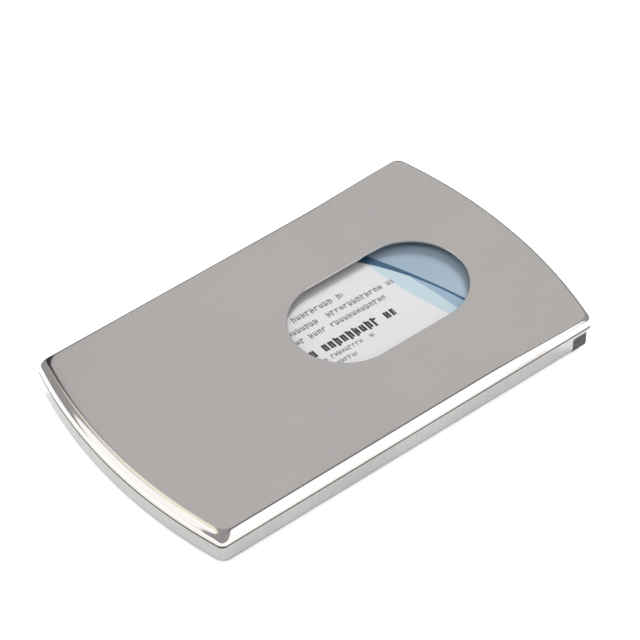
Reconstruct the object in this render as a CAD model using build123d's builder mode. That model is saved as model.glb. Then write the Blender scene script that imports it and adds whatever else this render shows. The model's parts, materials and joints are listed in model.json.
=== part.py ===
from build123d import *
import math
import os

# Thumb-slide card case: two pressed steel shells on a moulded frame.  A sprung plate
# holds the cards up under the frame's ledges, and the thumb slides the top card out.
# Millimetres, +Z up.  +X points out of the open end, and the origin is the middle of
# the underside.

os.makedirs("parts", exist_ok=True)

# ---- driving dimensions
case_length = 100.0         # over the two bowed ends
case_width = 60.4
case_height = 8.2
end_bow = 4.3               # how far an end bulges past its corners
sheet = 0.5                 # steel thickness
seam_z = 5.8                # rim of the tray
seam_gap = 0.1
seam_edge = 0.12            # bevel on both rims
lid_shoulder = 1.8          # rolled edge along the sides and the closed end
lip_shoulder = 1.2          # smaller roll over the exit
lip_z = 6.9                 # underside of the exit lip
tray_round = 2.4
floor_setback = 1.5         # the floor stops short of the exit lip
notch_x = 40.7              # the tray's side is cut away from here to the corner
notch_round = 0.6           # rounded inner corner of that cut
rim_strip = 0.9             # height left standing over it

window_x = 16.0
window_length = 39.9
window_width = 23.4

bond = 0.1                  # adhesive film
fit_gap = 0.1               # frame to shell
web = 0.6                   # floor of the frame
ledge = 0.8                 # thickness of the ledges over the cards
ledge_reach = 1.8

card_length = 90.0
card_width = 54.0
card_thick = 0.3
card_pitch = 0.31
card_clear = 0.15           # beside a card and behind it
stack_count = 8             # cards below the top one
slide_gap = 0.05            # over and under the top card
card_corner = 0.3

plate_thick = 0.7
plate_length = 88.8
plate_side_clear = 0.2
spring_length = 60.0
spring_width = 8.0
spring_thick = 0.2
spring_foot = 7.0
spring_y = 14.0
spring_clear = 0.02
rivet_radius = 0.9
rivet_head = 1.6
rivet_head_height = 0.2

# ---- worked out
half_length = case_length / 2
half_width = case_width / 2
bow_radius = (half_width**2 + end_bow**2) / (2 * end_bow)
bow_centre = half_length - bow_radius           # of the exit end's arc, on the X axis
lid_under = case_height - sheet
frame_low = sheet + bond
frame_high = lid_under - bond
web_top = frame_low + web
ledge_under = frame_high - ledge
chamber_back = -card_length / 2                 # stop face behind the cards
chamber_half = card_width / 2 + card_clear
top_card_z = ledge_under - slide_gap - card_thick
stack_high = top_card_z - slide_gap
stack_low = stack_high - card_thick - (stack_count - 1) * card_pitch
plate_low = stack_low - plate_thick
card_start = chamber_back + card_clear
far = 2 * case_length                           # longer than anything here


# ---- helpers
def plan(inset=0.0):
    """Bowed plan outline, drawn in by inset."""
    end = half_length - inset
    side = half_width - inset
    radius = bow_radius - inset
    corner = end - radius + math.sqrt(radius**2 - side**2)
    with BuildSketch() as outline:
        with BuildLine():
            Line((-corner, -side), (corner, -side))
            ThreePointArc((corner, -side), (end, 0), (corner, side))
            Line((corner, side), (-corner, side))
            ThreePointArc((-corner, side), (-end, 0), (-corner, -side))
        make_face()
    return outline.sketch


def slab(outline, low, high):
    """An outline extruded between two heights."""
    with BuildPart() as body:
        with BuildSketch(Plane.XY.offset(low)):
            add(outline)
        extrude(amount=high - low)
    return body.part


def brick(x_range, y_range, z_range):
    """A plain box between limits, for cutting."""
    with BuildPart() as body:
        with BuildSketch(Plane.XY.offset(z_range[0])):
            with Locations((sum(x_range) / 2, sum(y_range) / 2)):
                Rectangle(x_range[1] - x_range[0], y_range[1] - y_range[0])
        extrude(amount=z_range[1] - z_range[0])
    return body.part


def rolled_block(inset, low, high, shoulder, lip):
    """Block under the lid's skin: a large roll on three sides, a small one at the exit."""
    with BuildPart() as body:
        add(slab(plan(inset), low, high))
        rolled = body.edges().group_by(Axis.Z)[-1].sort_by(Axis.X)[:-1]
        fillet(rolled, shoulder)
        exit_edge = body.edges().group_by(Axis.Z)[-1].sort_by(Axis.X)[-1]
        fillet(exit_edge, lip)
    return body.part


def dished_block(inset, low, high, roll):
    """Block inside the tray: its lower rim rounded all the way round."""
    with BuildPart() as body:
        add(slab(plan(inset), low, high))
        fillet(body.edges().group_by(Axis.Z)[0], roll)
    return body.part


def within_exit(inset, low, high):
    """Disc whose rim is the exit end's arc, drawn in by inset."""
    with BuildPart() as body:
        with BuildSketch(Plane.XY.offset(low)):
            with Locations((bow_centre, 0)):
                Circle(bow_radius - inset)
        extrude(amount=high - low)
    return body.part


def mirrored_pair(half):
    """A piece on the +Y side with its mirror image."""
    with BuildPart() as pair:
        add(half)
        mirror(about=Plane.XZ)
    return pair.part


# ---- lid: top skin with the thumb window
lid_outer = rolled_block(0, seam_z + seam_gap, case_height, lid_shoulder, lip_shoulder)
lid_inner = rolled_block(sheet, seam_z, lid_under, lid_shoulder - sheet, lip_shoulder - sheet)
exit_mouth = brick((notch_x, far), (sheet - half_width, half_width - sheet), (seam_z, lip_z))

with BuildPart() as top_shell:
    add(lid_outer)
    chamfer(top_shell.edges().group_by(Axis.Z)[0], seam_edge)
    add(lid_inner, mode=Mode.SUBTRACT)
    add(exit_mouth, mode=Mode.SUBTRACT)
    with BuildSketch(Plane.XY.offset(lid_under - seam_gap)):
        with Locations((window_x, 0)):
            SlotOverall(window_length, window_width)
    extrude(amount=sheet + 2 * seam_gap, mode=Mode.SUBTRACT)

# ---- tray: bottom skin, open at the exit, with its sides notched at the two exit corners
tray_outer = dished_block(0, 0, seam_z, tray_round)
tray_inner = dished_block(sheet, sheet, far, tray_round - sheet)
tray_mouth = brick((notch_x, far), (sheet - half_width, half_width - sheet), (sheet, far))
notch_top = seam_z - rim_strip
notch_half = brick((notch_x, far), (half_width - tray_round, far), (-far, notch_top))

with BuildPart() as floor_trim:
    add(brick((notch_x, far), (-far, far), (-far, notch_top)))
    add(within_exit(floor_setback, -far, far), mode=Mode.SUBTRACT)

with BuildPart() as notches:
    add(notch_half)
    fillet(notches.edges().filter_by(Axis.Y).group_by(Axis.X)[0].sort_by(Axis.Z)[-1], notch_round)
    mirror(about=Plane.XZ)

with BuildPart() as bottom_shell:
    add(tray_outer)
    chamfer(bottom_shell.edges().group_by(Axis.Z)[-1], seam_edge)
    add(tray_inner, mode=Mode.SUBTRACT)
    add(tray_mouth, mode=Mode.SUBTRACT)
    add(floor_trim.part, mode=Mode.SUBTRACT)
    add(notches.part, mode=Mode.SUBTRACT)

# ---- moulded frame: floor, side rails, closed end, ledges over the cards, and the two
# posts that fill the tray's notches
frame_inset = sheet + fit_gap
frame_upper = rolled_block(frame_inset, seam_z, frame_high, lid_shoulder - frame_inset,
                           lip_shoulder - frame_inset)
frame_lower = dished_block(frame_inset, frame_low, seam_z, tray_round - frame_inset)
frame_end = within_exit(2 * sheet, -far, far)
web_end = within_exit(floor_setback + 2 * sheet, -far, web_top)
chamber = brick((chamber_back, far), (-chamber_half, chamber_half), (web_top, ledge_under))
ledge_half = chamber_half - ledge_reach
between_ledges = brick((chamber_back + ledge_reach, far), (-ledge_half, ledge_half),
                       (ledge_under, far))
web_trim = brick((notch_x, far), (-chamber_half, chamber_half), (-far, web_top))

post_low = frame_low
post_high = notch_top - fit_gap
post_round = 1.2
post_corner = 1.0
post_body = dished_block(fit_gap, post_low, post_high, post_round)
post_zone = brick((notch_x + fit_gap, far), (chamber_half, far), (-far, far))

with BuildPart() as post:
    add(post_body)
    add(post_zone, mode=Mode.INTERSECT)
    add(frame_end, mode=Mode.INTERSECT)
    outer_corner = post.edges().filter_by(Axis.Z).group_by(Axis.Y)[-1].sort_by(Axis.X)[-1]
    fillet(outer_corner, post_corner)

with BuildPart() as web_beyond:
    add(web_trim)
    add(web_end, mode=Mode.SUBTRACT)

# guide ribs beside the spring feet, and the rivet holes under their fixed ends
rib_height = 0.3
rib_width = 0.8
rib_offset = spring_width / 2 + 0.2 + rib_width / 2
foot_x = (spring_length - spring_foot) / 2
rivet_spots = [(-foot_x, -spring_y), (-foot_x, spring_y)]
rib_spots = [(sx * foot_x, sy * spring_y + so * rib_offset)
             for sx in (-1, 1) for sy in (-1, 1) for so in (-1, 1)]

with BuildPart() as inner_frame:
    add(frame_upper)
    add(frame_lower)
    add(frame_end, mode=Mode.INTERSECT)
    add(chamber, mode=Mode.SUBTRACT)
    add(between_ledges, mode=Mode.SUBTRACT)
    add(web_beyond.part, mode=Mode.SUBTRACT)
    add(mirrored_pair(post.part))
    with BuildSketch(Plane.XY.offset(web_top)):
        with Locations(*rib_spots):
            Rectangle(spring_foot, rib_width)
    extrude(amount=rib_height)
    with BuildSketch(Plane.XY.offset(web_top)):
        with Locations(*rivet_spots):
            Circle(rivet_radius + spring_clear)
    extrude(amount=-web, mode=Mode.SUBTRACT)

# ---- adhesive films between the frame and the skins
film_reach = lid_shoulder + 0.2
with BuildPart() as lid_bond_film:
    add(slab(plan(film_reach), frame_high, lid_under))
    add(brick((chamber_back + ledge_reach + 0.2, far), (-ledge_half - 0.2, ledge_half + 0.2),
              (0, far)), mode=Mode.SUBTRACT)
    add(within_exit(lip_shoulder + 4 * sheet, 0, far), mode=Mode.INTERSECT)

film_strip_length = 78.0
film_strip_width = 7.0
film_strip_y = 20.0
with BuildPart() as tray_bond_film:
    with BuildSketch(Plane.XY.offset(sheet)):
        with Locations((0, -film_strip_y), (0, film_strip_y)):
            Rectangle(film_strip_length, film_strip_width)
    extrude(amount=bond)

# ---- leaf springs: a shallow bow on two flat feet, riveted at one foot
bow_half = spring_length / 2 - spring_foot
bow_rise = plate_low - web_top - spring_thick - spring_clear


def bow_line(low):
    """Spring line in its own upright plane: foot, S-curve, crown, S-curve, foot."""
    mid = low + bow_rise / 2
    Line((-spring_length / 2, low), (-bow_half, low))
    TangentArc((-bow_half, low), (-bow_half / 2, mid), tangent=(1, 0))
    ThreePointArc((-bow_half / 2, mid), (0, low + bow_rise), (bow_half / 2, mid))
    TangentArc((bow_half, low), (bow_half / 2, mid), tangent=(-1, 0))
    Line((bow_half, low), (spring_length / 2, low))


def leaf_spring(y):
    """Bowed strip along X, its feet on the frame's floor."""
    with BuildPart() as strip:
        with BuildSketch(Plane.XZ.offset(-y - spring_width / 2)):
            with BuildLine():
                bow_line(web_top)
                bow_line(web_top + spring_thick)
                for end in (-spring_length / 2, spring_length / 2):
                    Line((end, web_top), (end, web_top + spring_thick))
            make_face()
        extrude(amount=spring_width)
        with BuildSketch(Plane.XY.offset(web_top)):
            with Locations((-foot_x, y)):
                Circle(rivet_radius + spring_clear)
        extrude(amount=2 * spring_thick, mode=Mode.SUBTRACT)
    return strip.part


springs = {"front_leaf_spring": leaf_spring(-spring_y), "rear_leaf_spring": leaf_spring(spring_y)}

head_low = web_top + spring_thick
with BuildPart() as spring_rivets:
    with BuildSketch(Plane.XY.offset(frame_low)):
        with Locations(*rivet_spots):
            Circle(rivet_radius)
    extrude(amount=head_low - frame_low)
    with BuildSketch(Plane.XY.offset(head_low)):
        with Locations(*rivet_spots):
            Circle(rivet_head)
    extrude(amount=rivet_head_height)
    fillet(spring_rivets.edges().group_by(Axis.Z)[-1], rivet_head_height / 2)

# ---- pressure plate, bevelled where the cards are pushed in
plate_half = chamber_half - plate_side_clear
plate_corner = 2.0
lead_in = 0.4
with BuildPart() as pressure_plate:
    with BuildSketch(Plane.XY.offset(plate_low)):
        with Locations((card_start + plate_length / 2, 0)):
            RectangleRounded(plate_length, 2 * plate_half, plate_corner)
    extrude(amount=plate_thick)
    exit_edges = pressure_plate.edges().filter_by(Axis.Y).group_by(Axis.X)[-1]
    chamfer(exit_edges.sort_by(Axis.Z)[-1], lead_in)


# ---- cards
def card(low):
    """One card lying at a height."""
    with BuildPart() as sheet_card:
        with BuildSketch(Plane.XY.offset(low)):
            with Locations((card_start + card_length / 2, 0)):
                RectangleRounded(card_length, card_width, card_corner)
        extrude(amount=card_thick)
    return sheet_card.part


cards = {"top_card": card(top_card_z)}
for position in range(stack_count):
    cards[f"card_{position + 2}"] = card(stack_high - card_thick - position * card_pitch)

# ---- labels and files
pieces = {
    "top_shell": top_shell.part,
    "bottom_shell": bottom_shell.part,
    "inner_frame": inner_frame.part,
    "lid_bond_film": lid_bond_film.part,
    "tray_bond_film": tray_bond_film.part,
    "spring_rivets": spring_rivets.part,
    "pressure_plate": pressure_plate.part,
    **springs,
    **cards,
}
for name, piece in pieces.items():
    piece.label = name
    export_step(piece, f"parts/{name}.step")

print(f"plate travel: {plate_low - head_low - rivet_head_height - spring_clear:.2f}")
print(f"top card: {top_card_z:.2f} to {top_card_z + card_thick:.2f}, plate from {plate_low:.2f}")
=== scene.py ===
# Thumb-slide card case, set up for a product shot.  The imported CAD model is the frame;
# the two steel skins, the top card, the springs and the rivets are remade here.

import json
import math

import bmesh
import bpy
from mathutils import Matrix, Vector


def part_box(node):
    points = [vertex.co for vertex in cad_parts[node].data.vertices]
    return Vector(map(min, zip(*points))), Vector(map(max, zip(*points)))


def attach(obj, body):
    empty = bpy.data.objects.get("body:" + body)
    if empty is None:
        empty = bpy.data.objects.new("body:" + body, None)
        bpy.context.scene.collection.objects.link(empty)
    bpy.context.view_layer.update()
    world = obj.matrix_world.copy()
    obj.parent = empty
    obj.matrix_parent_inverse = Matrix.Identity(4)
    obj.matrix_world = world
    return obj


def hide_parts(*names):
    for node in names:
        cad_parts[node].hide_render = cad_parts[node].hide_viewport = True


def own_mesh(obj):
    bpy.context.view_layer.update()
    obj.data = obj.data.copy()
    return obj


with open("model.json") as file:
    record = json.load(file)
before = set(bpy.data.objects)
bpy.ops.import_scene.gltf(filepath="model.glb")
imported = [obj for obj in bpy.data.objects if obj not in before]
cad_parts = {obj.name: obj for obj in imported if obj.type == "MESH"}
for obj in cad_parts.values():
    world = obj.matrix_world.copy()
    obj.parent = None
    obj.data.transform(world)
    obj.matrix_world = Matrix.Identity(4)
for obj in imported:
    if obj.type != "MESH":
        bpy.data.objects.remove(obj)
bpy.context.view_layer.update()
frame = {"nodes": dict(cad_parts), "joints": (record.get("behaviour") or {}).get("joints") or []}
mm = 0.001
print("frame loaded:", len(frame["nodes"]), "nodes")


# ---------- mesh helpers: outlines and sections are in millimetres
def smoothStep(t):
    t = min(max(t, 0.0), 1.0)
    return t * t * (3 - 2 * t)


def mix(a, b, t):
    return a + (b - a) * t


def arcPoints(centre, radius, start, end, count):
    angles = [mix(start, end, i / count) for i in range(count + 1)]
    return [(centre[0] + radius * math.cos(a), centre[1] + radius * math.sin(a)) for a in angles]


def quarterOutline(body, sideInset, midInset, endInset, corner):
    # from the middle of a bowed end, round the corner, to the middle of a side; the third
    # value is the share of the end's section, the fourth how far along the side a point is
    radius = body["bowRadius"] - endInset
    centre = body["halfLength"] - body["bowRadius"]
    side = body["halfWidth"] - sideInset
    filletX = centre + math.sqrt((radius - corner) ** 2 - (side - corner) ** 2)
    turn = math.atan2(side - corner, filletX - centre)
    points = [(x, y, 1.0, 0.0) for x, y in arcPoints((centre, 0), radius, 0, turn, body["arcSteps"])]
    fillet = arcPoints((filletX, side - corner), corner, turn, math.pi / 2, body["cornerSteps"])
    for step, (x, y) in enumerate(fillet[1:], start=1):
        points.append((x, y, 1 - smoothStep(step / body["cornerSteps"]), 0.0))
    for step in range(1, body["sideSteps"] + 1):
        share = step / body["sideSteps"]
        along = smoothStep(share / 0.6)
        points.append((filletX * (1 - share), side + (sideInset - midInset) * along, 0.0, along))
    return points


def ringPoints(body, row):
    # one closed loop, anticlockwise from the middle of the open end
    middle, quarters = row["side"], []
    for end in ("open", "shut"):
        nearby = row[end + "Side"]
        outline = quarterOutline(body, nearby[0], middle[0], row[end][0], row[end + "Corner"])
        quarters.append([(x, y, mix(mix(nearby[1], middle[1], along), row[end][1], share))
                         for x, y, share, along in outline])
    first = quarters[0]
    second = [(-x, y, z) for x, y, z in reversed(quarters[1][:-1])]
    third = [(x, -y, z) for x, y, z in reversed(second[:-1])]
    fourth = [(x, -y, z) for x, y, z in reversed(first[1:])]
    return first + second + third + fourth


def addRing(mesh, points):
    return [mesh.verts.new((x * mm, y * mm, z * mm)) for x, y, z in points]


def bridge(mesh, lower, upper):
    count = len(lower)
    for i in range(count):
        j = (i + 1) % count
        mesh.faces.new((lower[i], lower[j], upper[j], upper[i]))


def loopEdges(mesh, ring):
    found = []
    for i, vert in enumerate(ring):
        pair = (vert, ring[(i + 1) % len(ring)])
        found.append(mesh.edges.get(pair) or mesh.edges.new(pair))
    return found


def fillBetween(mesh, outer, inner):
    edges = loopEdges(mesh, outer) + loopEdges(mesh, inner)
    bmesh.ops.triangle_fill(mesh, use_beauty=True, edges=edges, normal=(0, 0, 1))


def slotRing(window, grow, height):
    # stadium outline, anticlockwise, grown outwards by some millimetres
    radius = window["width"] / 2
    reach = window["length"] / 2 - radius
    half = window["steps"] // 2
    right = arcPoints((window["x"] + reach, 0), radius + grow, -math.pi / 2, math.pi / 2, half)
    left = arcPoints((window["x"] - reach, 0), radius + grow, math.pi / 2, 1.5 * math.pi, half)
    return [(x, y, height) for x, y in right + left]


def pieceFrom(mesh, name, creaseAngle=32):
    bmesh.ops.recalc_face_normals(mesh, faces=mesh.faces)
    data = bpy.data.meshes.new(name)
    mesh.to_mesh(data)
    mesh.free()
    for face in data.polygons:
        face.use_smooth = True
    data.set_sharp_from_angle(angle=math.radians(creaseAngle))
    piece = bpy.data.objects.new(name, data)
    bpy.context.scene.collection.objects.link(piece)
    return piece


def bakeModifiers(piece):
    # the evaluated mesh takes the place of the modifiers
    graph = bpy.context.evaluated_depsgraph_get()
    data = bpy.data.meshes.new_from_object(piece.evaluated_get(graph))
    piece.modifiers.clear()
    piece.data = data
    data.name = piece.name
    return piece


def prism(outline, axis, low, high):
    # a closed cutter: an outline pushed along Y or Z
    mesh = bmesh.new()
    place = {"Z": lambda a, b, c: (a, b, c), "Y": lambda a, b, c: (a, c, b)}[axis]
    rings = []
    for level in (low, high):
        rings.append([mesh.verts.new(Vector(place(a, b, level)) * mm) for a, b in outline])
    bridge(mesh, rings[0], rings[1])
    mesh.faces.new(rings[0])
    mesh.faces.new(rings[1])
    return pieceFrom(mesh, "cutter")


def cutAway(piece, cutters):
    for cutter in cutters:
        cut = piece.modifiers.new("cut", "BOOLEAN")
        cut.operation = "DIFFERENCE"
        cut.solver = "EXACT"
        cut.object = cutter
    bakeModifiers(piece)
    for cutter in cutters:
        bpy.data.objects.remove(cutter)
    for face in piece.data.polygons:
        face.use_smooth = True
    piece.data.set_sharp_from_angle(angle=math.radians(32))


# ---------- sizes of the whole case, from the frame
lidLow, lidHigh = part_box("top_shell")
trayLow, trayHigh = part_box("bottom_shell")
caseSize = {
    "halfLength": -lidLow.x / mm,
    "halfWidth": lidHigh.y / mm,
    "bow": 4.3,              # how far an end bulges past its corners
    "sheet": 0.5,
    "arcSteps": 26,
    "cornerSteps": 12,
    "sideSteps": 22,
}
caseSize["bowRadius"] = (caseSize["halfWidth"] ** 2 + caseSize["bow"] ** 2) / (2 * caseSize["bow"])

# ---------- lid
lid = {
    "rim": lidLow.z / mm,
    "top": lidHigh.z / mm,
    "lip": 6.9,              # underside of the lip over the open end
    "bevel": 0.1,
    "shoulder": {"side": 1.7, "shut": 2.2, "open": 1.2},
    "blend": {"side": 1.8, "shut": 2.0, "open": 0.5},   # faint slope inside the shoulder
    "drop": {"side": 0.03, "shut": 0.03, "open": 0.0},
    "shoulderHeight": {"side": 2.2, "shut": 2.2, "open": 1.2},
    "slim": {"openSide": 0.4},   # the side's roll narrows to the exit
    "cornerAtRim": 1.7,
    "cornerAtShoulder": {"shut": 3.2, "open": 2.6},
    "cornerAtFlat": {"shut": 5.0, "open": 3.0},
    "roundSteps": 16,
    "blendSteps": 5,
    "window": {"x": 16.0, "length": 39.9, "width": 23.4, "steps": 120, "edge": 0.09},
}


def lidSection(place):
    # (inset, height, share of the corner growth) from the inner flat, over the rim, to the outer flat
    sheet, bevel = caseSize["sheet"], lid["bevel"]
    zone = place if place in lid["shoulder"] else "side"
    low = lid["lip"] if zone == "open" else lid["rim"]
    slim = lid["slim"].get(place, 1.0)
    width, drop, blend = (lid[size][zone] * slim for size in ("shoulder", "drop", "blend"))
    start = max(low + bevel, lid["top"] - lid["shoulderHeight"][zone] * slim)
    crest = lid["top"] - drop
    outer = []
    for step in range(lid["roundSteps"] + 1):
        angle = math.pi / 2 * step / lid["roundSteps"]
        inset = width * (1 - math.cos(angle))
        outer.append((inset, start + (crest - start) * math.sin(angle), inset / width))
    for step in range(1, lid["blendSteps"] + 1):
        u = step / lid["blendSteps"]
        outer.append((width + blend * u, lid["top"] - drop * (1 - u) ** 1.4, 1 + u))
    inner = []
    full, fullStart = lid["shoulder"][zone], max(low + bevel, lid["top"] - lid["shoulderHeight"][zone])
    for step in range(lid["roundSteps"] // 2 + 1):
        angle = math.pi / 2 * (1 - 2 * step / lid["roundSteps"])
        inset = sheet + (full - sheet) * (1 - math.cos(angle))
        inner.append((inset, fullStart + (lid["top"] - sheet - fullStart) * math.sin(angle), inset / full))
    flat = (full + lid["blend"][zone], lid["top"] - sheet, 2)
    rim = [(sheet, low + bevel, 0.1), (sheet - bevel, low, 0.05), (bevel, low, 0), (0, low + bevel, 0)]
    return [flat] + inner + rim + outer


def cornerAt(end, growth):
    if growth <= 1:
        return mix(lid["cornerAtRim"], lid["cornerAtShoulder"][end], growth)
    return mix(lid["cornerAtShoulder"][end], lid["cornerAtFlat"][end], growth - 1)


def makeLid():
    mesh = bmesh.new()
    places = ("side", "shutSide", "openSide", "shut", "open")
    rings = []
    for spots in zip(*(lidSection(place) for place in places)):
        row = dict(zip(places, spots))
        row["shutCorner"] = cornerAt("shut", row["shut"][2])
        row["openCorner"] = cornerAt("open", row["open"][2])
        rings.append(addRing(mesh, ringPoints(caseSize, row)))
    for lower, upper in zip(rings, rings[1:]):
        bridge(mesh, lower, upper)
    window, top, under = lid["window"], lid["top"], lid["top"] - caseSize["sheet"]
    edge = window["edge"]
    rimLevels = [(0.5, top), (edge, top)]
    rimLevels += [(edge * (1 - math.sin(a)), top - edge * (1 - math.cos(a)))
                  for a in (math.pi / 8, math.pi / 4, 3 * math.pi / 8, math.pi / 2)]
    rimLevels += [(0, under + edge), (edge, under), (0.5, under)]
    rim = [addRing(mesh, slotRing(window, grow, height)) for grow, height in rimLevels]
    for lower, upper in zip(rim, rim[1:]):
        bridge(mesh, lower, upper)
    fillBetween(mesh, rings[-1], rim[0])
    fillBetween(mesh, rings[0], rim[-1])
    return pieceFrom(mesh, "lidSkin")


lidSkin = makeLid()
print("lid made:", len(lidSkin.data.polygons), "faces")

# ---------- tray
tray = {
    "rim": trayHigh.z / mm,
    "bevel": 0.03,
    "step": (0.3, 0.25),     # rebate along the outside of the rim: the dark line under the lid
    "round": 2.4,
    "corner": 1.4,
    "lowCorner": 1.8,        # the corner opens out towards the floor
    "innerCorner": 0.6,
    "roundSteps": 14,
    "cutFrom": 40.7,         # the side is cut away from here to the corner
    "strip": 0.9,            # height left standing over the cut
    "cutCorner": 0.6,
    "floorSetback": 1.5,
}


def traySection():
    # (inset, height, corner) from the inner floor, over the rim, to the underside
    sheet, bevel, turn = caseSize["sheet"], tray["bevel"], tray["round"]
    section = []
    for step in range(tray["roundSteps"] + 1):
        angle = math.pi / 2 * step / tray["roundSteps"]
        reach = turn - sheet
        section.append((sheet + reach * (1 - math.sin(angle)), sheet + reach * (1 - math.cos(angle)),
                        tray["innerCorner"] + reach * (1 - math.sin(angle))))
    stepIn, stepLow = tray["step"][0], tray["rim"] - tray["step"][1]
    for inset, height in ((sheet, tray["rim"] - bevel), (sheet - bevel, tray["rim"]), (stepIn, tray["rim"]),
                          (stepIn, stepLow), (bevel, stepLow), (0, stepLow - bevel)):
        section.append((inset, height, mix(tray["corner"], tray["innerCorner"], inset / sheet)))
    for step in range(tray["roundSteps"] + 1):
        angle = math.pi / 2 * (1 - step / tray["roundSteps"])
        inset = turn * (1 - math.sin(angle))
        section.append((inset, turn * (1 - math.cos(angle)), tray["lowCorner"] + 1.6 * inset))
    return section


def exitArc(inset, half, steps):
    # the open end's arc, drawn in, from -half to +half across
    radius = caseSize["bowRadius"] - inset
    centre = caseSize["halfLength"] - caseSize["bowRadius"]
    turn = math.asin(half / radius)
    return arcPoints((centre, 0), radius, -turn, turn, steps)


def makeTray():
    mesh = bmesh.new()
    rings = []
    for inset, height, corner in traySection():
        spot = (inset, height)
        row = dict.fromkeys(("side", "shutSide", "openSide", "shut", "open"), spot)
        row.update(shutCorner=corner, openCorner=corner)
        rings.append(addRing(mesh, ringPoints(caseSize, row)))
    for lower, upper in zip(rings, rings[1:]):
        bridge(mesh, lower, upper)
    mesh.faces.new(rings[0])
    mesh.faces.new(rings[-1])
    skin = pieceFrom(mesh, "traySkin")
    start, far, half, sheet = tray["cutFrom"], 60, caseSize["halfWidth"], caseSize["sheet"]
    notchTop, turn = tray["rim"] - tray["strip"], tray["cutCorner"]
    mouthHalf = half - sheet
    mouth = [(start, -mouthHalf), (far, -mouthHalf), (far, mouthHalf), (start, mouthHalf)]
    notch = [(start, -1), (far, -1), (far, notchTop)]
    notch += arcPoints((start + turn, notchTop - turn), turn, math.pi / 2, math.pi, 8)
    beyond = exitArc(tray["floorSetback"], 35, 60) + [(far, 35), (far, -35)]
    wall = half - tray["round"]
    cutAway(skin, [prism(mouth, "Z", sheet, 20), prism(beyond, "Z", -1, notchTop),
                   prism(notch, "Y", wall, 40), prism(notch, "Y", -40, -wall)])
    return skin


traySkin = makeTray()
print("tray made:", len(traySkin.data.polygons), "faces")

# ---------- top card
cardLow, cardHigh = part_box("top_card")
card = {"corner": 0.4, "edge": 0.05, "cornerSteps": 6}


def cardRing(inset, height):
    points = []
    corner = card["corner"] - inset
    spots = ((cardHigh.x, cardHigh.y, 0), (cardLow.x, cardHigh.y, 1),
             (cardLow.x, cardLow.y, 2), (cardHigh.x, cardLow.y, 3))
    for x, y, turn in spots:
        centre = (x / mm - math.copysign(card["corner"], x), y / mm - math.copysign(card["corner"], y))
        start = turn * math.pi / 2
        points += arcPoints(centre, corner, start, start + math.pi / 2, card["cornerSteps"])
    return [(x, y, height) for x, y in points]


def makeCard():
    mesh = bmesh.new()
    low, high, edge = cardLow.z / mm, cardHigh.z / mm, card["edge"]
    levels = [(edge, low), (0, low + edge), (0, high - edge), (edge, high)]
    rings = [addRing(mesh, cardRing(inset, height)) for inset, height in levels]
    for lower, upper in zip(rings, rings[1:]):
        bridge(mesh, lower, upper)
    mesh.faces.new(rings[0])
    mesh.faces.new(rings[-1])
    return pieceFrom(mesh, "printedCard")


printedCard = makeCard()
print("top card made")


# ---------- geometry nodes for the springs and the rivets
class NodeKit:                              # makes and links the nodes of one tree
    def __init__(self, tree):
        self.tree = tree

    def node(self, kind, settings=None, inputs=None):
        made = self.tree.nodes.new(kind)
        for key, value in (settings or {}).items():
            setattr(made, key, value)
        for key, value in (inputs or {}).items():
            self.feed(made.inputs[key], value)
        return made

    def feed(self, socket, value):
        if isinstance(value, Wire):
            value = value.socket
        if isinstance(value, bpy.types.NodeSocket):
            self.tree.links.new(value, socket)
        else:
            socket.default_value = value

    def wire(self, kind, settings=None, inputs=None, output=0):
        return Wire(self, self.node(kind, settings, inputs).outputs[output])


class Wire:                                 # a socket that can stand in a sum
    def __init__(self, kit, socket):
        self.kit = kit
        self.socket = socket

    def calc(self, operation, *others):
        values = dict(enumerate((self,) + others))
        return self.kit.wire("ShaderNodeMath", {"operation": operation}, values)

    def __add__(self, other):
        return self.calc("ADD", other)

    def __radd__(self, other):
        return self.calc("ADD", other)

    def __sub__(self, other):
        return self.calc("SUBTRACT", other)

    def __rsub__(self, other):
        return self.kit.wire("ShaderNodeMath", {"operation": "SUBTRACT"}, {0: other, 1: self})

    def __mul__(self, other):
        return self.calc("MULTIPLY", other)

    def __rmul__(self, other):
        return self.calc("MULTIPLY", other)

    def __truediv__(self, other):
        return self.calc("DIVIDE", other)

    def __pow__(self, other):
        return self.calc("POWER", other)

    def __lt__(self, other):
        return self.calc("LESS_THAN", other)

    def __gt__(self, other):
        return self.calc("GREATER_THAN", other)

    def clamp(self):
        return self.kit.wire("ShaderNodeClamp", None, {"Value": self})

    def ease(self, low, high):              # 0 below low, 1 above high, smooth between
        limits = {"Value": self, "From Min": low, "From Max": high}
        return self.kit.wire("ShaderNodeMapRange", {"interpolation_type": "SMOOTHSTEP"}, limits)


def geometryTree(name, sizes):
    # a tree with one named input for each size and one for the finish
    tree = bpy.data.node_groups.new(name, "GeometryNodeTree")
    tree.interface.new_socket("Geometry", in_out="INPUT", socket_type="NodeSocketGeometry")
    kinds = {float: "NodeSocketFloat", int: "NodeSocketInt"}
    for label, value in sizes.items():
        tree.interface.new_socket(label, in_out="INPUT", socket_type=kinds[type(value)])
    tree.interface.new_socket("Finish", in_out="INPUT", socket_type="NodeSocketMaterial")
    tree.interface.new_socket("Geometry", in_out="OUTPUT", socket_type="NodeSocketGeometry")
    kit = NodeKit(tree)
    inlet = kit.node("NodeGroupInput")
    given = {socket.name: Wire(kit, socket) for socket in inlet.outputs if socket.name}
    return kit, given


def closeTree(kit, shape, finish):
    solid = kit.wire("GeometryNodeRealizeInstances", None, {"Geometry": shape})
    coated = kit.wire("GeometryNodeSetMaterial", None, {"Geometry": solid, "Material": finish})
    kit.node("NodeGroupOutput", None, {"Geometry": coated})


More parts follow.
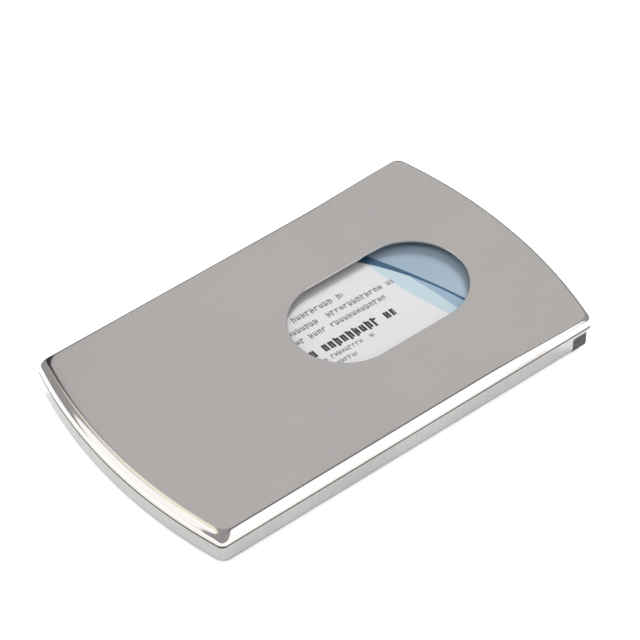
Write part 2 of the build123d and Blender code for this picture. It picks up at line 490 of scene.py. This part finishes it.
def growPiece(name, tree, sizes, finish):
    # runs a tree on an empty mesh and keeps the plain result
    piece = bpy.data.objects.new(name, bpy.data.meshes.new(name))
    bpy.context.scene.collection.objects.link(piece)
    modifier = piece.modifiers.new("grow", "NODES")
    modifier.node_group = tree
    values = dict(sizes, Finish=finish)
    for item in tree.interface.items_tree:
        if item.in_out == "INPUT" and item.name in values:
            modifier[item.identifier] = values[item.name]
    return bakeModifiers(piece)


# ---------- finishes: one material each, with patterns in millimetres of the piece
class Finish(NodeKit):
    def __init__(self, name, fixed):
        self.material = bpy.data.materials.new(name)
        self.material.use_nodes = True
        super().__init__(self.material.node_tree)
        self.tree.nodes.clear()
        self.shader = self.node("ShaderNodeBsdfPrincipled", None, fixed)
        self.node("ShaderNodeOutputMaterial", None, {"Surface": Wire(self, self.shader.outputs[0])})
        metres = self.wire("ShaderNodeTexCoord", output="Object")
        self.place = self.wire("ShaderNodeVectorMath", {"operation": "SCALE"},
                               {0: metres, "Scale": 1 / mm})

    def axes(self):
        parts = self.node("ShaderNodeSeparateXYZ", None, {0: self.place}).outputs
        return [Wire(self, part) for part in parts]

    def grain(self, pull, detail=3.0, shift=0.0):       # noise, 0 to 1, pulled along the axes
        spot = self.wire("ShaderNodeMapping", None,
                         {"Vector": self.place, "Scale": pull, "Location": (shift, shift, shift)})
        return self.wire("ShaderNodeTexNoise", None, {"Vector": spot, "Scale": 1.0, "Detail": detail})

    def tint(self, share, first, second):               # from the first colour to the second
        inputs = {0: share}
        for key, colour in ((6, first), (7, second)):
            inputs[key] = colour if isinstance(colour, Wire) else (*colour, 1.0)
        return self.wire("ShaderNodeMix", {"data_type": "RGBA"}, inputs, 2)

    def dent(self, height, depth):                      # bump, its depth in millimetres
        return self.wire("ShaderNodeBump", None, {"Height": height, "Distance": depth * mm})

    def use(self, **wires):
        names = {"colour": "Base Color", "roughness": "Roughness", "normal": "Normal",
                 "metallic": "Metallic", "coat": "Coat Weight"}
        for key, wire in wires.items():
            self.feed(self.shader.inputs[names[key]], wire)
        return self.material


steelLook = {
    "lid": {"pale": (0.650, 0.626, 0.612), "deep": (0.622, 0.600, 0.588), "flat": 0.13, "shoulder": 0.06,
            "from": 7.7, "to": 8.12, "pull": (0.05, 5.0, 5.0), "line": 0.03, "depth": 0.0004},
    "tray": {"pale": (0.49, 0.483, 0.476), "deep": (0.43, 0.424, 0.418), "flat": 0.20, "shoulder": 0.26,
             "from": 0.0, "to": 5.0, "pull": (1.4, 1.4, 0.08), "line": 0.03, "depth": 0.0004,
             # the last two entries paint shade on the rolled bend: the heights where it fades, and the dark
             # colour standing in for its reflection of the shaded floor
             "paintedShadeHeights": (0.3, 2.8), "paintedShade": (0.10, 0.098, 0.096)},
}


def steelFinish(name, look):
    coat = Finish(name, {"Metallic": 1.0})
    height = coat.axes()[2]
    cloud = coat.grain((0.045, 0.06, 0.06), 2.0)
    lines = coat.grain(look["pull"], 2.0, 7.0)
    smear = coat.grain((0.11, 0.16, 0.16), 4.0, 31.0).ease(0.52, 0.72)
    scuff = coat.grain((0.35, 9.0, 9.0), 1.0, 53.0).ease(0.70, 0.78)
    flat = height.ease(look["from"], look["to"])
    rough = look["shoulder"] + flat * (look["flat"] - look["shoulder"])
    rough = rough + (lines - 0.5) * look["line"] + smear * 0.012 + scuff * 0.05
    colour = coat.tint((cloud * 0.7 + lines * 0.3).ease(0.3, 0.7), look["deep"], look["pale"])
    if "paintedShadeHeights" in look:                                  # painted shade: the rolled bend near the floor is painted dark, standing in for its reflection of the shaded floor; the wall keeps the steel's own colour
        wall = height.ease(*look["paintedShadeHeights"]).calc("MAXIMUM", 1 - height.ease(0.02, 0.3))
        colour = coat.tint(wall, look["paintedShade"], colour)
    return coat.use(colour=colour, roughness=rough, normal=coat.dent(lines, look["depth"]))


def plasticFinish(name, look):
    coat = Finish(name, {"Specular IOR Level": 0.45})
    pebble = coat.grain((look["pebble"],) * 3, 2.0)
    patch = coat.grain((0.25, 0.25, 0.25), 3.0, 11.0)
    colour = coat.tint(patch.ease(0.35, 0.7), look["deep"], look["pale"])
    rough = look["rough"] + (patch - 0.5) * 0.12 + (pebble - 0.5) * 0.08
    return coat.use(colour=colour, roughness=rough, normal=coat.dent(pebble, look["depth"]))


def springFinish():
    coat = Finish("rolledSpringSteel", {"Metallic": 1.0})
    roll = coat.grain((0.08, 9.0, 9.0), 2.0)
    heat = coat.grain((0.12, 0.3, 0.3), 3.0, 5.0)
    colour = coat.tint(heat.ease(0.35, 0.7), (0.47, 0.46, 0.45), (0.55, 0.52, 0.46))
    return coat.use(colour=colour, roughness=0.24 + (roll - 0.5) * 0.2, normal=coat.dent(roll, 0.002))


def brassFinish():
    coat = Finish("turnedBrass", {"Metallic": 1.0})
    rub = coat.grain((4.0, 4.0, 4.0), 3.0)
    tarnish = coat.grain((0.9, 0.9, 0.9), 4.0, 3.0).ease(0.45, 0.75)
    colour = coat.tint(tarnish, (0.74, 0.58, 0.30), (0.48, 0.36, 0.19))
    return coat.use(colour=colour, roughness=0.22 + tarnish * 0.2 + (rub - 0.5) * 0.08,
                    normal=coat.dent(rub, 0.002))


def filmFinish():
    coat = Finish("adhesiveFilm", {"Specular IOR Level": 0.4})
    ripple = coat.grain((0.6, 0.6, 0.6), 3.0)
    colour = coat.tint(ripple.ease(0.3, 0.7), (0.74, 0.72, 0.62), (0.82, 0.80, 0.73))
    return coat.use(colour=colour, roughness=0.32 + ripple * 0.2, normal=coat.dent(ripple, 0.004))


cardLook = {
    "white": (0.715, 0.710, 0.735),
    "shade": (0.690, 0.686, 0.712),
    "sky": (0.30, 0.40, 0.50),
    "skyPale": (0.38, 0.47, 0.57),
    "ribbon": (0.045, 0.11, 0.19),
    "wedge": (0.30, 0.42, 0.55),
    "band": (0.50, 0.62, 0.68),
    "ink": (0.045, 0.045, 0.05),
    "greyInk": (0.09, 0.09, 0.10),
    # arcs that part the colours: centre and radius
    "skyEdge": ((-114.3, -48.0), 150.0),
    "ribbonEdge": ((-28.7, -22.0), 60.0),
    "wedgeEdge": ((-62.1, -16.6), 90.0),
    "bandEdge": ((125.2, 18.8), 104.0),
    "tilt": -0.04,           # the print leans a little on the card
    # one made-up mark, in shares of its cell and of the line's size
    "mark": {"start": 0.08, "stop": 0.84, "body": 0.36, "reach": 0.14, "barLevel": 0.27, "barHalf": 0.11},
    # lines of made-up print: height of the line, its size, where it starts and stops
    "lines": [
        {"y": 10.1, "size": 1.5, "from": -14.0, "to": 1.0, "pitch": 1.05, "weight": 0.28},
        {"y": 7.6, "size": 1.5, "from": -3.0, "to": 12.4, "pitch": 1.1, "weight": 0.28},
        {"y": 4.7, "size": 1.5, "from": -10.0, "to": 22.6, "pitch": 1.05, "weight": 0.28},
        {"y": 2.0, "size": 1.5, "from": -12.0, "to": 18.6, "pitch": 1.05, "weight": 0.28},
        {"y": -5.0, "size": 1.3, "from": -12.0, "to": 10.4, "pitch": 0.85, "weight": 0.26},
        {"y": -7.1, "size": 1.3, "from": -9.0, "to": 4.6, "pitch": 0.85, "weight": 0.26},
    ],
    "bold": {"y": -2.35, "size": 2.6, "from": -9.0, "to": 17.5, "pitch": 1.5, "weight": 0.36},
}


def paperFinish(name, white, shade):
    coat = Finish(name, {"Specular IOR Level": 0.35})
    fibre = coat.grain((1.6, 1.6, 1.6), 4.0)
    colour = coat.tint(fibre.ease(0.3, 0.7), shade, white)
    return coat.use(colour=colour, roughness=0.52 + (fibre - 0.5) * 0.15, normal=coat.dent(fibre, 0.003))


def printFinish(look):
    coat = Finish("printedCardStock", {"Specular IOR Level": 0.4})
    x, y, z = coat.axes()
    fibre = coat.grain((1.6, 1.6, 1.6), 4.0)

    def beyond(edge, soft=0.06):                        # 1 on the far side of an arc
        (cx, cy), radius = look[edge]
        gap = ((x - cx) ** 2.0 + (y - cy) ** 2.0) ** 0.5 - radius
        return gap.ease(-soft, soft)

    def chanceAt(cell, salt):                           # one random number for each cell
        spot = coat.wire("ShaderNodeCombineXYZ", None, {0: cell.calc("FLOOR"), 1: salt})
        return coat.wire("ShaderNodeTexWhiteNoise", {"noise_dimensions": "2D"}, {"Vector": spot})

    mark = look["mark"]

    def printLine(row):                                 # uprights tied by short bars, no letters
        height = (y - look["tilt"] * x - row["y"]) / row["size"]
        cell = x / row["pitch"]
        part, thick = cell.calc("FRACT"), row["weight"]
        letter, other, word = (chanceAt(cell * scale, row["y"] * salt)
                               for scale, salt in ((1.0, 9.7), (1.0, 3.1), (0.2, 5.3)))
        inside = (x > row["from"]) * (x < row["to"]) * (letter > 0.03)
        inside = inside * (1 - (word < 0.5) * ((cell * 0.2).calc("FRACT") > 0.8))
        tall = height.calc("ABSOLUTE")
        start, stop, body, reach = (mark[key] for key in ("start", "stop", "body", "reach"))
        first = (part > start) * (part < start + thick) * (tall < body + reach * (letter > 0.6))
        second = (part > stop - thick) * (part < stop) * (tall < body) * (other < 0.8)
        level = ((other * 2.99).calc("FLOOR") - 1) * mark["barLevel"]       # low, middle or high
        cross = ((height - level).calc("ABSOLUTE") < mark["barHalf"]) * (part > start) * (part < stop)
        return inside * first.calc("MAXIMUM", second).calc("MAXIMUM", cross)

    colour = coat.tint(fibre.ease(0.3, 0.7), look["shade"], look["white"])
    colour = coat.tint(1 - beyond("bandEdge", 0.15), colour, look["band"])
    colour = coat.tint(beyond("wedgeEdge", 0.1) * (y < 2.0), colour, look["wedge"])
    sky = coat.tint(y.ease(-14.0, 12.0), look["skyPale"], look["sky"])
    colour = coat.tint(beyond("ribbonEdge"), colour, look["ribbon"])
    colour = coat.tint(beyond("skyEdge"), colour, sky)
    small = printLine(look["lines"][0])
    for row in look["lines"][1:]:
        small = small.calc("MAXIMUM", printLine(row))
    top = z > cardHigh.z / mm - 0.08                    # nothing is printed on the other faces
    colour = coat.tint(small * 0.8 * top, colour, look["greyInk"])
    colour = coat.tint(printLine(look["bold"]) * top, colour, look["ink"])
    return coat.use(colour=colour, roughness=0.42 + (fibre - 0.5) * 0.12, normal=coat.dent(fibre, 0.002))


lidSteel = steelFinish("polishedLidSteel", steelLook["lid"])
traySteel = steelFinish("satinTraySteel", steelLook["tray"])
blackPlastic = plasticFinish("mouldedBlackPlastic", {
    "deep": (0.018, 0.018, 0.019), "pale": (0.032, 0.031, 0.032),
    "rough": 0.42, "pebble": 5.0, "depth": 0.012})
platePlastic = plasticFinish("smoothPlatePlastic", {
    "deep": (0.022, 0.022, 0.024), "pale": (0.036, 0.036, 0.038),
    "rough": 0.33, "pebble": 3.0, "depth": 0.006})
springSteel = springFinish()
rivetBrass = brassFinish()
bondFilm = filmFinish()
plainStock = paperFinish("plainCardStock", (0.85, 0.85, 0.86), (0.81, 0.81, 0.82))
printedStock = printFinish(cardLook)
print("finishes made")

# ---------- springs: a strip on two flat feet that swells in the middle
springLow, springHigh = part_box("front_leaf_spring")
rearLow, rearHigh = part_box("rear_leaf_spring")
spring = {
    "Length": springHigh.x - springLow.x,
    "Width": springHigh.y - springLow.y,
    "Thickness": 0.2 * mm,
    "Foot": 7 * mm,
    "Rise": springHigh.z - springLow.z - 0.2 * mm,
    "Base": springLow.z,
    "Middle": 0.0,
    "Steps": 121,
}


def springTree():
    kit, given = geometryTree("leafSpring", spring)
    size = kit.wire("ShaderNodeCombineXYZ", None,
                    {0: given["Length"], 1: given["Width"], 2: given["Thickness"]})
    strip = kit.wire("GeometryNodeMeshCube", None,
                     {"Size": size, "Vertices X": given["Steps"], "Vertices Y": 5, "Vertices Z": 2})
    place = kit.wire("GeometryNodeInputPosition")
    along = Wire(kit, kit.node("ShaderNodeSeparateXYZ", None, {0: place}).outputs[0])
    reach = given["Length"] * 0.5 - given["Foot"]
    near = (1 - along.calc("ABSOLUTE") / reach).clamp()
    lift = near * near * (3 - 2 * near) * given["Rise"] + given["Base"] + given["Thickness"] * 0.5
    offset = kit.wire("ShaderNodeCombineXYZ", None, {1: given["Middle"], 2: lift})
    bowed = kit.wire("GeometryNodeSetPosition", None, {"Geometry": strip, "Offset": offset})
    closeTree(kit, bowed, given["Finish"])
    return kit.tree


leafTree = springTree()
springPieces = {
    "front_leaf_spring": growPiece("frontSpringStrip", leafTree,
                                   dict(spring, Middle=(springLow.y + springHigh.y) / 2), springSteel),
    "rear_leaf_spring": growPiece("rearSpringStrip", leafTree,
                                  dict(spring, Middle=(rearLow.y + rearHigh.y) / 2), springSteel),
}
print("springs made")

# ---------- rivets: turned on a lathe, then set through the strips
rivetLow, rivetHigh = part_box("spring_rivets")
rivet = {
    "Head": (rivetHigh.x - rivetLow.x) / 2,
    "Shank": 0.9 * mm,
    "Height": 0.2 * mm,
    "Low": rivetLow.z,
    "High": rivetHigh.z,
    "Row X": (rivetLow.x + rivetHigh.x) / 2,
    "Row Half": (rivetHigh.y - rivetLow.y) / 2 - (rivetHigh.x - rivetLow.x) / 2,
    "Count": 2,
}


def turnedRivet():
    # half outline from the foot to the crown, turned about its own axis
    head, shank, top = rivet["Head"], rivet["Shank"], rivet["High"] - rivet["Low"]
    underHead = top - rivet["Height"]
    outline = [(0, 0), (shank * 0.9, 0), (shank, shank * 0.1), (shank, underHead), (head, underHead)]
    outline += [(head * math.cos(a), underHead + rivet["Height"] * math.sin(a))
                for a in (math.pi / 12 * step for step in range(1, 7))]
    mesh = bmesh.new()
    verts = [mesh.verts.new((x, 0, z)) for x, z in outline]
    edges = [mesh.edges.new(pair) for pair in zip(verts, verts[1:])]
    bmesh.ops.spin(mesh, geom=verts + edges, axis=(0, 0, 1), cent=(0, 0, 0), angle=2 * math.pi,
                   steps=48, use_merge=True)
    bmesh.ops.remove_doubles(mesh, verts=mesh.verts, dist=1e-6)
    return pieceFrom(mesh, "turnedRivet")


def rivetTree(model):
    sizes = {name: rivet[name] for name in ("Row X", "Row Half", "Low", "Count")}
    kit, given = geometryTree("rivetRow", sizes)
    start = kit.wire("ShaderNodeCombineXYZ", None,
                     {0: given["Row X"], 1: given["Row Half"] * -1, 2: given["Low"]})
    step = kit.wire("ShaderNodeCombineXYZ", None, {1: given["Row Half"] * 2})
    row = kit.wire("GeometryNodeMeshLine", None,
                   {"Count": given["Count"], "Start Location": start, "Offset": step})
    info = kit.wire("GeometryNodeObjectInfo", None, {"Object": model}, "Geometry")
    placed = kit.wire("GeometryNodeInstanceOnPoints", None, {"Points": row, "Instance": info})
    closeTree(kit, placed, given["Finish"])
    return kit.tree, sizes


rivetModel = turnedRivet()
rowTree, rowSizes = rivetTree(rivetModel)
rivetPair = growPiece("rivetPair", rowTree, rowSizes, rivetBrass)
bpy.data.objects.remove(rivetModel)
print("rivets made")

# ---------- who wears what, and what each new piece stands for
newPieces = [
    (lidSkin, lidSteel, "case", "top_shell", "lid_steel"),
    (traySkin, traySteel, "case", "bottom_shell", "tray_steel"),
    (printedCard, printedStock, "thumb_card", "top_card", "printed_card"),
    (springPieces["front_leaf_spring"], springSteel, "case", "front_leaf_spring", "spring_steel"),
    (springPieces["rear_leaf_spring"], springSteel, "case", "rear_leaf_spring", "spring_steel"),
    (rivetPair, rivetBrass, "case", "spring_rivets", "rivet_brass"),
]
for piece, finish, body, node, slotName in newPieces:
    piece.data.materials.clear()
    piece.data.materials.append(finish)
    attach(piece, body)
    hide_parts(node)

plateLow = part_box("pressure_plate")[0].z
travel = max(abs(limit) for joint in frame["joints"] if joint["name"] == "plate_lift"
             for limit in joint["range_m"])
for piece in springPieces.values():
    (plateLow - travel - spring["Base"]) / (plateLow - spring["Base"])
    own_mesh(piece)

cadFinishes = {"inner_frame": blackPlastic, "pressure_plate": platePlastic,
               "lid_bond_film": bondFilm, "tray_bond_film": bondFilm}
for name, node in frame["nodes"].items():
    if name.startswith("card_"):
        cadFinishes[name] = plainStock
    if name in cadFinishes:
        node.data.materials.clear()
        node.data.materials.append(cadFinishes[name])
print("pieces dressed")

# ---------- camera
view = {"azimuth": -36.96, "elevation": 45.47, "roll": -1.82, "distance": 0.6548, "lens": 185.15,
        "aim": (0.0065, 0.0069, 0.0035)}


def aimCamera():
    turn, tilt = math.radians(view["azimuth"]), math.radians(view["elevation"])
    back = Vector((math.sin(turn) * math.cos(tilt), -math.cos(turn) * math.cos(tilt), math.sin(tilt)))
    lens = bpy.data.cameras.new("camera")
    lens.lens = view["lens"]
    lens.clip_start = 0.01
    camera = bpy.data.objects.new("camera", lens)
    bpy.context.scene.collection.objects.link(camera)
    camera.location = Vector(view["aim"]) + back * view["distance"]
    facing = back.to_track_quat("Z", "Y").to_matrix()
    camera.rotation_euler = (facing @ Matrix.Rotation(math.radians(view["roll"]), 3, "Z")).to_euler()
    bpy.context.scene.camera = camera


aimCamera()

# ---------- studio: a white floor, soft panels and three dark flags
studio = {
    "reach": 1.6,
    "air": 0.45,
    "floor": 0.88,
    "floorGlow": 0.72,       # the floor is a light table
    # direction, width and height, lean, brightness over the air's, colour
    "panels": {
        "frontPanel": {"towards": (0.42, -0.70, 0.58), "size": (0.46, 2.30), "lean": -19, "glow": 1.25,
                       "tint": (1, 1, 1)},
        "shutPanel": {"towards": (-0.75, 0.48, 0.46), "size": (0.88, 1.80), "lean": 17, "glow": 1.05,
                      "tint": (1, 1, 1)},
        "warmPanel": {"towards": (-0.20, 0.42, 0.885), "size": (1.1, 0.5), "lean": 13, "glow": 0.9,
                      "tint": (1, 0.95, 0.72)},
        "backPanel": {"towards": (0.43, 0.55, 0.71), "size": (0.95, 0.95), "lean": 0, "glow": 0.23,
                      "tint": (1, 1, 1)},
        "keyPanel": {"towards": (0.72, 0.50, 0.48), "size": (0.4, 0.4), "lean": 0, "glow": 50.0,
                     "tint": (1, 1, 1)},
    },
    "unmirrored": ("keyPanel",),     # lights the card, but the steel doesn't show it
    "flags": {
        "sideFlag": {"from": (0.75, -0.03, 1.0), "to": (0.15, -0.03, 1.0), "width": 0.30, "shade": 0.03},
        "cornerFlag": {"from": (0.13, 0.63, 0.765), "to": (0.22, 0.95, 0.22), "width": 0.42, "shade": 0.02},
        "exitFlag": {"from": (1.0, 0.10, 0.27), "to": (0.45, 0.95, 0.27), "width": 0.62, "shade": 0.22},
    },
}


def addPanel(name, look):
    lamp = bpy.data.lights.new(name, "AREA")
    lamp.shape = "RECTANGLE"
    lamp.size, lamp.size_y = look["size"]
    lamp.color = look["tint"]
    lamp.energy = look["glow"] * math.pi * lamp.size * lamp.size_y
    panel = bpy.data.objects.new(name, lamp)
    bpy.context.scene.collection.objects.link(panel)
    towards = Vector(look["towards"]).normalized()
    panel.location = towards * studio["reach"]
    facing = towards.to_track_quat("Z", "Y").to_matrix()
    panel.rotation_euler = (facing @ Matrix.Rotation(math.radians(look["lean"]), 3, "Z")).to_euler()
    panel.visible_camera = False
    panel.visible_glossy = name not in studio["unmirrored"]


def makeFloor():
    half = 4.0
    data = bpy.data.meshes.new("floor")
    data.from_pydata([(-half, -half, 0), (half, -half, 0), (half, half, 0), (-half, half, 0)], [],
                     [(0, 1, 2, 3)])
    floor = bpy.data.objects.new("floor", data)
    bpy.context.scene.collection.objects.link(floor)
    coat = Finish("whiteSweep", {"Roughness": 0.6, "Specular IOR Level": 0.2,
                                 "Emission Color": (1, 1, 1, 1), "Emission Strength": studio["floorGlow"]})
    patch = coat.grain((0.01, 0.01, 0.01), 2.0)
    white = studio["floor"]
    data.materials.append(coat.use(colour=coat.tint(patch, (white, white, white), (white + 0.01,) * 3)))


def addFlag(name, look):
    start, end = (Vector(look[key]).normalized() * studio["reach"] for key in ("from", "to"))
    across = (end - start).cross(start + end).normalized() * look["width"] / 2
    data = bpy.data.meshes.new(name)
    data.from_pydata([start - across, end - across, end + across, start + across], [], [(0, 1, 2, 3)])
    flag = bpy.data.objects.new(name, data)
    bpy.context.scene.collection.objects.link(flag)
    coat = Finish(name + "Cloth", {"Roughness": 0.9, "Base Color": (*[look["shade"]] * 3, 1.0)})
    data.materials.append(coat.material)
    flag.visible_camera = False
    flag.visible_shadow = False


def makeAir():
    world = bpy.data.worlds.new("studioAir")
    world.use_nodes = True
    kit = NodeKit(world.node_tree)
    kit.tree.nodes.clear()
    shade = studio["air"]
    glow = kit.wire("ShaderNodeBackground", None, {"Color": (shade, shade, shade, 1.0), "Strength": 1.0})
    kit.node("ShaderNodeOutputWorld", None, {"Surface": glow})
    bpy.context.scene.world = world


for panelName, panelLook in studio["panels"].items():
    addPanel(panelName, panelLook)
for flagName, flagLook in studio["flags"].items():
    addFlag(flagName, flagLook)
makeFloor()
makeAir()
bpy.context.scene.view_settings.view_transform = "Standard"
print("studio set")
